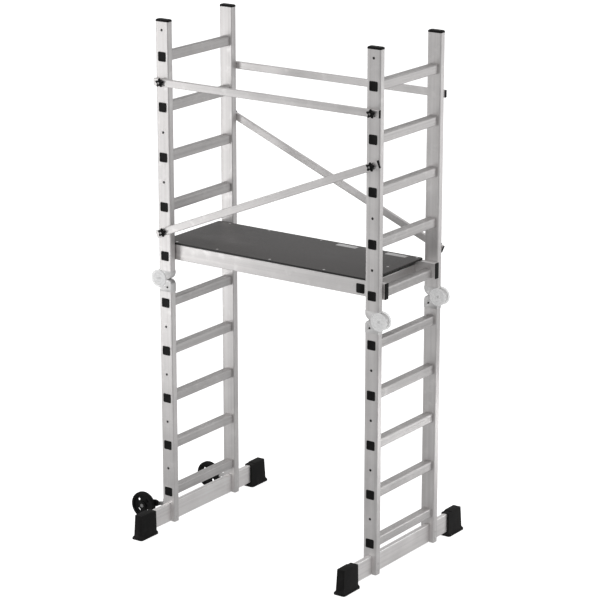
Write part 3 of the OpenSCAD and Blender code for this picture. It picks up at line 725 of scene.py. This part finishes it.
knob_count = 0
for kind in ("rail", "brace"):
    for end in ENDS:
        for side in SIDES:
            body = f"star_knob_{kind}_{end}_{side}"
            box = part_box(body)
            x = stile_axis(side, end)[0]
            out = -1 if end == "front" else 1
            seat = box[1].y if out < 0 else box[0].y
            z = box[1].z - knob_reach
            knob = joined(f"{body}_moulded", [knob_form(facing((x, seat, z), (0, out, 0)))], 40)
            belongs(knob, black_plastic, body, [body])
            knob_count += 1
print(knob_count, "knobs, each on its own bolt")

# %% [markdown]
# The feet are boots pushed over the ends of the base bars: a wide rounded sole, sides that lean
# inwards, and on the end face a sunk panel inside a raised border. The working boot already has
# the lean, the flared sole and the slot for the bar, so it is rounded, and the border is added.

# %% Feet
# Each row is a share of the border's thickness, of its corner and of its lift, from the outer
# foot over the rounded top to the inner foot
BORDER_ROWS = ((0, 1, -1), (0, 1, 0.6), (0.5, 1, 1), (1.5, 0.8, 1), (2, 0.7, 0.6), (2, 0.7, -1))


def border(width, height, corner, thick, lift, place):
    """A raised frame: a closed loop with a rounded top, lying on a face."""
    stack = []
    for inset, rounding, rise in BORDER_ROWS:
        outline = rounded_outline(width - thick * inset, height - thick * inset, corner * rounding)
        stack.append((outline, lift * rise))
    return loft(stack, place, through=True)


bar_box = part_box("base_bar_left")
# Where the end face starts: above the flared sole, and this far in from its edge
FLARE_TOP = 19 * mm
HEEL = 11 * mm
# How far the end face leans inwards on its way up
LEAN = 8 * mm
# The border is wider than the bar, and its middle and height are shares of the face's height
BORDER_WIDER = 10 * mm
BORDER_MIDDLE = 0.52
BORDER_HEIGHT = 0.84
BORDER_CORNER = 5 * mm
BORDER_THICK = 3 * mm
BORDER_LIFT = 1.1 * mm


def foot_border(side, out):
    """The raised border on the leaning end face of one boot."""
    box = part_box(f"feet_{side}")
    x = middle(box).x
    face_y = box[1].y if out > 0 else box[0].y
    rise = box[1].z - FLARE_TOP
    tilt = Vector((0, out * rise, LEAN)).normalized()
    low = Vector((x, face_y - out * HEEL, FLARE_TOP))
    high = Vector((x, face_y - out * (HEEL + LEAN), box[1].z))
    width = bar_box[1].x - bar_box[0].x + BORDER_WIDER
    place = facing(low.lerp(high, BORDER_MIDDLE), tilt)
    return border(width, rise * BORDER_HEIGHT, BORDER_CORNER, BORDER_THICK, BORDER_LIFT, place)


for side in SIDES:
    rounded_copy(f"feet_{side}", f"feet_{side}_boots", 1.6 * mm, foot_rubber, 3)
    trims = joined(f"feet_{side}_borders", [foot_border(side, -1), foot_border(side, 1)])
    belongs(trims, foot_rubber, f"lower_ladder_{side}")

# %% [markdown]
# The deck board is a plain panel with rounded corners and a small softened arris all round. Two
# blank labels are stuck on it near its back edge. They are thin, so they are real plates a third
# of a millimetre thick and sit just proud of the film.

# %% Deck board and labels
deck_size = deck_high - deck_low
deck_mid = middle((deck_low, deck_high))
ARRIS = 0.8 * mm
DECK_CORNER = 8 * mm
soft = ARRIS * 0.3
thick = deck_size.z
deck_stack = []
for inset, rise in ((ARRIS, 0), (0, ARRIS), (0, thick - ARRIS), (soft, thick - soft), (ARRIS, thick)):
    outline = rounded_outline(deck_size.x - 2 * inset, deck_size.y - 2 * inset, DECK_CORNER - inset, 8)
    deck_stack.append((outline, rise))
deck_form = loft(deck_stack, Matrix.Translation((deck_mid.x, deck_mid.y, deck_low.z)))
deck = joined("deck_board_faced", [deck_form], 30)
belongs(deck, deck_board, "platform", ["platform_deck"])

LABEL_LONG = 118 * mm
LABEL_WIDE = 34 * mm
LABEL_CORNER = 3 * mm
LABEL_THICK = 0.35 * mm
LABEL_EDGE = 0.3 * mm
# Where the middle of each label is, from the back edge and from the right end of the board
LABEL_INSET = 36 * mm
LABEL_FROM_END = (421 * mm, 131 * mm)
plates = []
for from_end in LABEL_FROM_END:
    place = Matrix.Translation((deck_high.x - from_end, deck_high.y - LABEL_INSET, deck_high.z))
    outer = rounded_outline(LABEL_LONG, LABEL_WIDE, LABEL_CORNER)
    inner = rounded_outline(LABEL_LONG - LABEL_EDGE, LABEL_WIDE - LABEL_EDGE, LABEL_CORNER)
    plates.append(loft([(outer, 0), (outer, LABEL_THICK * 0.6), (inner, LABEL_THICK)], place))
belongs(joined("deck_labels", plates), label_vinyl, "platform")

# %% [markdown]
# What repeats is made by Geometry Nodes: a few points carry a position and a direction, and a
# tree puts the same small form on each of them. `Tree` is a short helper that adds nodes by name
# and joins their sockets, and `grown` runs a tree on a cloud of points and keeps the result as a
# plain mesh.

# %% Geometry trees
class Tree:
    """A geometry node tree with named inputs, built node by node."""

    def __init__(self, name, sizes):
        self.tree = bpy.data.node_groups.new(name, "GeometryNodeTree")
        face = self.tree.interface
        face.new_socket("Geometry", in_out="INPUT", socket_type="NodeSocketGeometry")
        self.keys = {}
        for label, (kind, value) in sizes.items():
            socket = face.new_socket(label, in_out="INPUT", socket_type="NodeSocket" + kind)
            if value is not None:
                socket.default_value = value
            self.keys[label] = socket.identifier
        face.new_socket("Geometry", in_out="OUTPUT", socket_type="NodeSocketGeometry")
        self.source = self.tree.nodes.new("NodeGroupInput")
        self.result = self.tree.nodes.new("NodeGroupOutput")

    def input(self, label):
        return self.source.outputs[label]

    def add(self, kind, settings=None, inputs=None, output=0):
        node = self.tree.nodes.new(kind)
        for name, value in (settings or {}).items():
            setattr(node, name, value)
        for name, value in (inputs or {}).items():
            if isinstance(value, bpy.types.NodeSocket):
                self.tree.links.new(value, node.inputs[name])
            else:
                node.inputs[name].default_value = value
        return node if output is None else node.outputs[output]

    def times(self, value, factor):
        return self.add("ShaderNodeMath", {"operation": "MULTIPLY"}, {0: value, 1: factor})

    def finish(self, form):
        """Puts the form on every point, turned to the point's direction, and gives it a finish."""
        kind = {"data_type": "FLOAT_VECTOR"}
        way = self.add("GeometryNodeInputNamedAttribute", kind, {"Name": "way"})
        turn = self.add("FunctionNodeAlignRotationToVector", {"axis": "Z"}, {"Vector": way})
        placed = self.add("GeometryNodeInstanceOnPoints", {},
                          {"Points": self.input("Geometry"), "Instance": form, "Rotation": turn})
        real = self.add("GeometryNodeRealizeInstances", {}, {"Geometry": placed})
        coated = self.add("GeometryNodeSetMaterial", {},
                          {"Geometry": real, "Material": self.input("Material")})
        self.tree.links.new(coated, self.result.inputs[0])


def grown(name, tree, points, sizes, material, body, nodes=(), smooth=35):
    """Runs a tree on (position, direction) points, and keeps the result as one plain mesh."""
    mesh = bpy.data.meshes.new(name)
    mesh.from_pydata([tuple(at) for at, way in points], [], [])
    ways = mesh.attributes.new("way", "FLOAT_VECTOR", "POINT")
    ways.data.foreach_set("vector", [c for at, way in points for c in way])
    piece = new_piece(name, mesh)
    modifier = piece.modifiers.new("tree", "NODES")
    modifier.node_group = tree.tree
    for label, value in {**sizes, "Material": material}.items():
        modifier[tree.keys[label]] = value
    baked(piece)
    if "way" in piece.data.attributes:
        piece.data.attributes.remove(piece.data.attributes["way"])
    smooth_by_angle(piece.data, smooth)
    print(name, "has", len(points), "copies and", len(piece.data.polygons), "faces")
    return belongs(piece, material, body, nodes)


print("a tree carries one form to every point")

# %% [markdown]
# A black plug closes every open rung end. It is a rounded square with a thin flat flange, a
# sloping edge and a slightly sunk middle where the mould was filled. The tree draws the square,
# fills it, and pushes it up in steps, scaling the top face after each step.

# %% Plug tree
PLUG_CORNER = 6 * mm
# The flange's share of the head, then each further step: how much of the head it rises, and how
# its face shrinks
FLANGE = 0.55
PLUG_STEPS = ((0.25, 0.985), (0.20, 0.955), (0.0, 0.80), (-0.12, 0.965), (-0.06, 0.94))
# The collar round each rung stands this far out from it
COLLAR = 4 * mm
# Rungs are farther apart than this
RUNG_GAP = 0.05
# Points of a plug nearer than this are welded
WELD = 0.001 * mm
plug_tree = Tree("rung_plug", {"Side": ("Float", 46 * mm), "Corner": ("Float", PLUG_CORNER),
                               "Head": ("Float", 2.5 * mm), "Material": ("Material", None)})


def pushed(tree, mesh, top, distance, scale):
    """Extrudes the marked faces and scales them; returns the new mesh and its marked faces."""
    inputs = {"Mesh": mesh, "Offset Scale": distance}
    if top is not None:
        inputs["Selection"] = top
    node = tree.add("GeometryNodeExtrudeMesh", {"mode": "FACES"}, inputs, output=None)
    sized = tree.add("GeometryNodeScaleElements", {},
                     {"Geometry": node.outputs["Mesh"], "Selection": node.outputs["Top"], "Scale": scale})
    return sized, node.outputs["Top"]


def plug_square(tree):
    outline = tree.add("GeometryNodeCurvePrimitiveQuadrilateral", {},
                       {"Width": tree.input("Side"), "Height": tree.input("Side")})
    soft = tree.add("GeometryNodeFilletCurve", {"mode": "POLY"},
                    {"Curve": outline, "Count": 5, "Radius": tree.input("Corner")})
    return soft


def plug_nodes(tree):
    """A plug's head: a flange, a sloping edge and a sunk middle, closed by a floor."""
    face = tree.add("GeometryNodeFillCurve", {"mode": "NGONS"}, {"Curve": plug_square(tree)})
    head = tree.input("Head")
    mesh, top = pushed(tree, face, None, tree.times(head, FLANGE), 1.0)
    for rise, scale in PLUG_STEPS:
        mesh, top = pushed(tree, mesh, top, tree.times(head, rise), scale)
    floor = tree.add("GeometryNodeFlipFaces", {}, {"Mesh": face})
    whole = tree.add("GeometryNodeJoinGeometry", {}, {"Geometry": mesh})
    tree.tree.links.new(floor, whole.node.inputs[0])
    return tree.add("GeometryNodeMergeByDistance", {}, {"Geometry": whole, "Distance": WELD})


plug_tree.finish(plug_nodes(plug_tree))


def rung_ends(level, side):
    """Where the open ends of one ladder section's rungs are, and the way each one faces."""
    node = f"{level}_rungs_{side}"
    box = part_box(node)
    places = []
    for z in rung_heights(node):
        for out in (-1, 1):
            y = box[1].y if out > 0 else box[0].y
            places.append(((middle(box).x, y, z), (0, out, 0)))
    return places


def rung_heights(node):
    """The heights of the rungs in a node, found from the gaps between them."""
    heights = sorted({round(v.co.z, 4) for v in frame["nodes"][node].data.vertices})
    groups = [[heights[0]]]
    for z in heights[1:]:
        if z - groups[-1][-1] > RUNG_GAP:
            groups.append([])
        groups[-1].append(z)
    return [(g[0] + g[-1]) / 2 for g in groups]


rung_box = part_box("upper_rungs_left")
rung_side = rung_box[1].x - rung_box[0].x - 2 * COLLAR
plug_head = -(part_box("upper_rung_plugs")[0].y + rung_box[1].y)
plug_sizes = {"Side": rung_side, "Corner": PLUG_CORNER, "Head": plug_head}
upper_ends = rung_ends("upper", "left") + rung_ends("upper", "right")
grown("upper_rung_plugs_moulded", plug_tree, upper_ends, plug_sizes, black_plastic,
      "upper_frame", ["upper_rung_plugs"])
for side in SIDES:
    grown(f"lower_rung_plugs_{side}_moulded", plug_tree, rung_ends("lower", side), plug_sizes,
          black_plastic, f"lower_ladder_{side}", [f"lower_rung_plugs_{side}"])
heights = [round(z, 3) for z in rung_heights("upper_rungs_left")]
print("rungs are", round(rung_side / mm, 1), "mm square, at", heights)

# %% [markdown]
# Where a rung comes out of the stile its edge is rolled over, which locks the two together. That
# rolled lip is a thin half-round bead about the plug. The tree sweeps a small circle round the
# same rounded square.

# %% Rolled lips
# The lip runs this far outside the plug, and is a bead of this radius
LIP_OUT = 0.8 * mm
LIP_BEAD = 1.2 * mm
lip_tree = Tree("rolled_lip", {"Side": ("Float", 46 * mm), "Corner": ("Float", PLUG_CORNER),
                               "Bead": ("Float", LIP_BEAD), "Material": ("Material", None)})
lip_bead = lip_tree.add("GeometryNodeCurvePrimitiveCircle", {"mode": "RADIUS"},
                        {"Resolution": 8, "Radius": lip_tree.input("Bead")})
lip_ring = lip_tree.add("GeometryNodeCurveToMesh", {},
                        {"Curve": plug_square(lip_tree), "Profile Curve": lip_bead})
lip_tree.finish(lip_ring)
lip_sizes = {"Side": rung_side + 2 * LIP_OUT, "Corner": PLUG_CORNER + LIP_OUT, "Bead": LIP_BEAD}
grown("upper_rung_lips", lip_tree, upper_ends, lip_sizes, rung_shaded_metal, "upper_frame", smooth=80)
for side in SIDES:
    grown(f"lower_rung_lips_{side}", lip_tree, rung_ends("lower", side), lip_sizes, rung_shaded_metal,
          f"lower_ladder_{side}", smooth=80)

# %% [markdown]
# Rivets hold the deck to its rails and the stiles to the base bars. A pop rivet shows a thin
# round flange with a low dome. The tree joins a flat cylinder and a squashed sphere that sinks
# into it.

# %% Rivets
BASE_RIVET = 6.5 * mm
BASE_RISE = 1.6 * mm
DECK_RISE = 0.7 * mm
DECK_PROUD = 0.1 * mm
rivet_tree = Tree("rivet", {"Radius": ("Float", BASE_RIVET), "Rise": ("Float", BASE_RISE),
                            "Material": ("Material", None)})


def rivet_nodes(tree):
    radius = tree.input("Radius")
    rise = tree.input("Rise")
    flange = tree.add("GeometryNodeMeshCylinder", {},
                      {"Vertices": 28, "Radius": radius, "Depth": tree.times(rise, 0.8)})
    width = tree.times(radius, 0.82)
    size = tree.add("ShaderNodeCombineXYZ", {}, {"X": width, "Y": width, "Z": rise})
    ball = tree.add("GeometryNodeMeshUVSphere", {}, {"Segments": 24, "Rings": 12, "Radius": 1.0})
    dome = tree.add("GeometryNodeTransform", {}, {"Geometry": ball, "Scale": size})
    whole = tree.add("GeometryNodeJoinGeometry", {}, {"Geometry": flange})
    tree.tree.links.new(dome, whole.node.inputs[0])
    return whole


rivet_tree.finish(rivet_nodes(rivet_tree))


def islands(node):
    """The boxes of the separate solids in a working node, from the lowest corner up."""
    form = bmesh.new()
    form.from_mesh(frame["nodes"][node].data)
    bmesh.ops.remove_doubles(form, verts=form.verts, dist=SAME_POINT)
    left = set(form.verts)
    found = []
    while left:
        queue = [left.pop()]
        lump = []
        while queue:
            vert = queue.pop()
            lump.append(vert.co.copy())
            for edge in vert.link_edges:
                other = edge.other_vert(vert)
                if other in left:
                    left.remove(other)
                    queue.append(other)
        low = Vector([min(p[i] for p in lump) for i in range(3)])
        high = Vector([max(p[i] for p in lump) for i in range(3)])
        found.append((low, high))
    form.free()
    return sorted(found, key=lambda pair: tuple(round(c, 4) for c in pair[0]))


deck_boxes = islands("deck_rivets")
deck_sizes = {"Radius": (deck_boxes[0][1].x - deck_boxes[0][0].x) / 2, "Rise": DECK_RISE}
deck_points = []
for box in deck_boxes:
    centre = middle(box)
    deck_points.append(((centre.x, centre.y, deck_high.z + DECK_PROUD), (0, 0, 1)))
grown("deck_rivets_domed", rivet_tree, deck_points, deck_sizes, zinc_steel, "platform",
      ["deck_rivets"], smooth=50)
base_sizes = {"Radius": BASE_RIVET, "Rise": BASE_RISE}
for side in SIDES:
    points = []
    for low, high in islands(f"base_rivets_{side}"):
        centre = middle((low, high))
        points.append(((low.x + BASE_RISE, centre.y, centre.z), (-1, 0, 0)))
        points.append(((high.x - BASE_RISE, centre.y, centre.z), (1, 0, 0)))
    grown(f"base_rivets_{side}_domed", rivet_tree, points, base_sizes, zinc_steel,
          f"lower_ladder_{side}", [f"base_rivets_{side}"], smooth=50)

# %% [markdown]
# The wheels are moulded in one piece with four slanted holes, and roll on a tread of small
# cross ribs. The working wheel has the holes and the hub, so it is rounded, and the ribs are
# grown round it: a circle of points, each with a direction that points away from the axle.

# %% Wheels
RIBS = 60
RIB_WIDE = 2.4 * mm
RIB_RISE = 0.7 * mm
RIB_SPAN = 0.6
rib_tree = Tree("tread_rib", {"Length": ("Float", 20 * mm), "Width": ("Float", RIB_WIDE),
                              "Rise": ("Float", RIB_RISE), "Material": ("Material", None)})
rib_depth = rib_tree.times(rib_tree.input("Rise"), 2.0)
rib_size = rib_tree.add("ShaderNodeCombineXYZ", {},
                        {"X": rib_tree.input("Width"), "Y": rib_tree.input("Length"), "Z": rib_depth})
rib_tree.finish(rib_tree.add("GeometryNodeMeshCube", {}, {"Size": rib_size}))
for end in ENDS:
    wheel = f"wheel_{end}"
    rounded_copy(wheel, f"{wheel}_moulded", 1.0 * mm, wheel_plastic)
    low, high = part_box(wheel)
    centre = middle((low, high))
    radius = (high.z - low.z) / 2
    rib_sizes = {"Length": (high.y - low.y) * RIB_SPAN, "Width": RIB_WIDE, "Rise": RIB_RISE}
    points = []
    for i in range(RIBS):
        turn = 2 * math.pi * i / RIBS
        way = Vector((math.cos(turn), 0, math.sin(turn)))
        points.append((centre + way * radius, tuple(way)))
    grown(f"{wheel}_tread", rib_tree, points, rib_sizes, wheel_plastic, wheel)

# %% [markdown]
# The stage is a wide pale floor that runs out of sight, with no walls. It is painted with a trace
# of its own light, and isn't mirrored in the metal, so it stays pale without washing the metal
# out.

# %% Floor
FLOOR_GLOW = 0.72
HALF = 60.0


def floor_paint(place):
    tone = cloud(place, 0.8, 2.0)
    return {"Base Color": blend(tone, grey(0.86), grey(0.90))}


floor_mesh = bpy.data.meshes.new("floor")
corners = [(-HALF, -HALF, 0), (HALF, -HALF, 0), (HALF, HALF, 0), (-HALF, HALF, 0)]
floor_mesh.from_pydata(corners, [], [(0, 1, 2, 3)])
floor = new_piece("floor", floor_mesh)
paint = finish("floor_paint", floor_paint, Roughness=0.9, Emission_Color=grey(1.0),
               Emission_Strength=FLOOR_GLOW)
floor.data.materials.append(paint)
floor.visible_glossy = False
floor.visible_diffuse = False
print("floor is", 2 * HALF, "metres wide")

# %% [markdown]
# Bare metal shows what it reflects, so the light is what shapes it: an even grey sky, brighter
# overhead, and four weak soft panels. Two stand one above the other where the front faces of the
# wheeled ladder mirror them, and two where the side faces that look along the platform do. Each
# panel is close, so its light fades across the object.

# %% Soft light
def soft_panel(name, at, towards, size, power):
    """A rectangle of light that the camera doesn't see."""
    light = bpy.data.lights.new(name, "AREA")
    light.shape = "RECTANGLE"
    light.size, light.size_y = size
    light.energy = power
    panel = bpy.data.objects.new(name, light)
    bpy.context.scene.collection.objects.link(panel)
    panel.location = at
    panel.rotation_euler = (Vector(towards) - Vector(at)).to_track_quat("-Z", "Y").to_euler()
    panel.visible_camera = False
    return panel


# name, place, where it points, size, power in watts
PANELS = (("panel_front_high", (-2.5, -2.3, 1.95), (-0.6, 0, 2.1), (1.2, 1.0), 8.2),
          ("panel_front_low", (-2.5, -2.3, 0.5), (-0.6, 0, 0.9), (1.2, 0.8), 8.6),
          ("panel_inner", (2.4, 2.0, 1.7), (0.6, 0, 1.8), (1.4, 1.4), 5.6),
          ("panel_ground", (2.0, 0.9, 0.16), (0.5, 0, 0.1), (2.0, 0.28), 4.4))
for row in PANELS:
    soft_panel(*row)
SKY_BELOW = 0.57
SKY_LEVEL = 0.36
SKY_ABOVE = 0.80
sky = bpy.data.worlds.new("sky")
bpy.context.scene.world = sky
sky.use_nodes = True
sky_tree = sky.node_tree
sky_way = Wire(sky_tree, sky_tree.nodes.new("ShaderNodeTexCoord").outputs["Generated"])
sky_height = sky_way.node("SeparateXYZ", {}, {"Vector": sky_way}, output="Z")
sky_up = sky_height.sum_of("MAXIMUM", sky_height, 0.0)
sky_down = sky_height.sum_of("MAXIMUM", sky_height * -1.0, 0.0)
sky_low = blend(sky_down, grey(SKY_LEVEL), grey(SKY_BELOW))
sky_tone = blend(sky_up, sky_low, grey(SKY_ABOVE))
sky_tree.links.new(sky_tone.socket, sky_tree.nodes["Background"].inputs["Color"])
bpy.context.scene.view_settings.view_transform = "Standard"
print(len(PANELS), "soft panels give", round(sum(row[-1] for row in PANELS), 1), "watts")
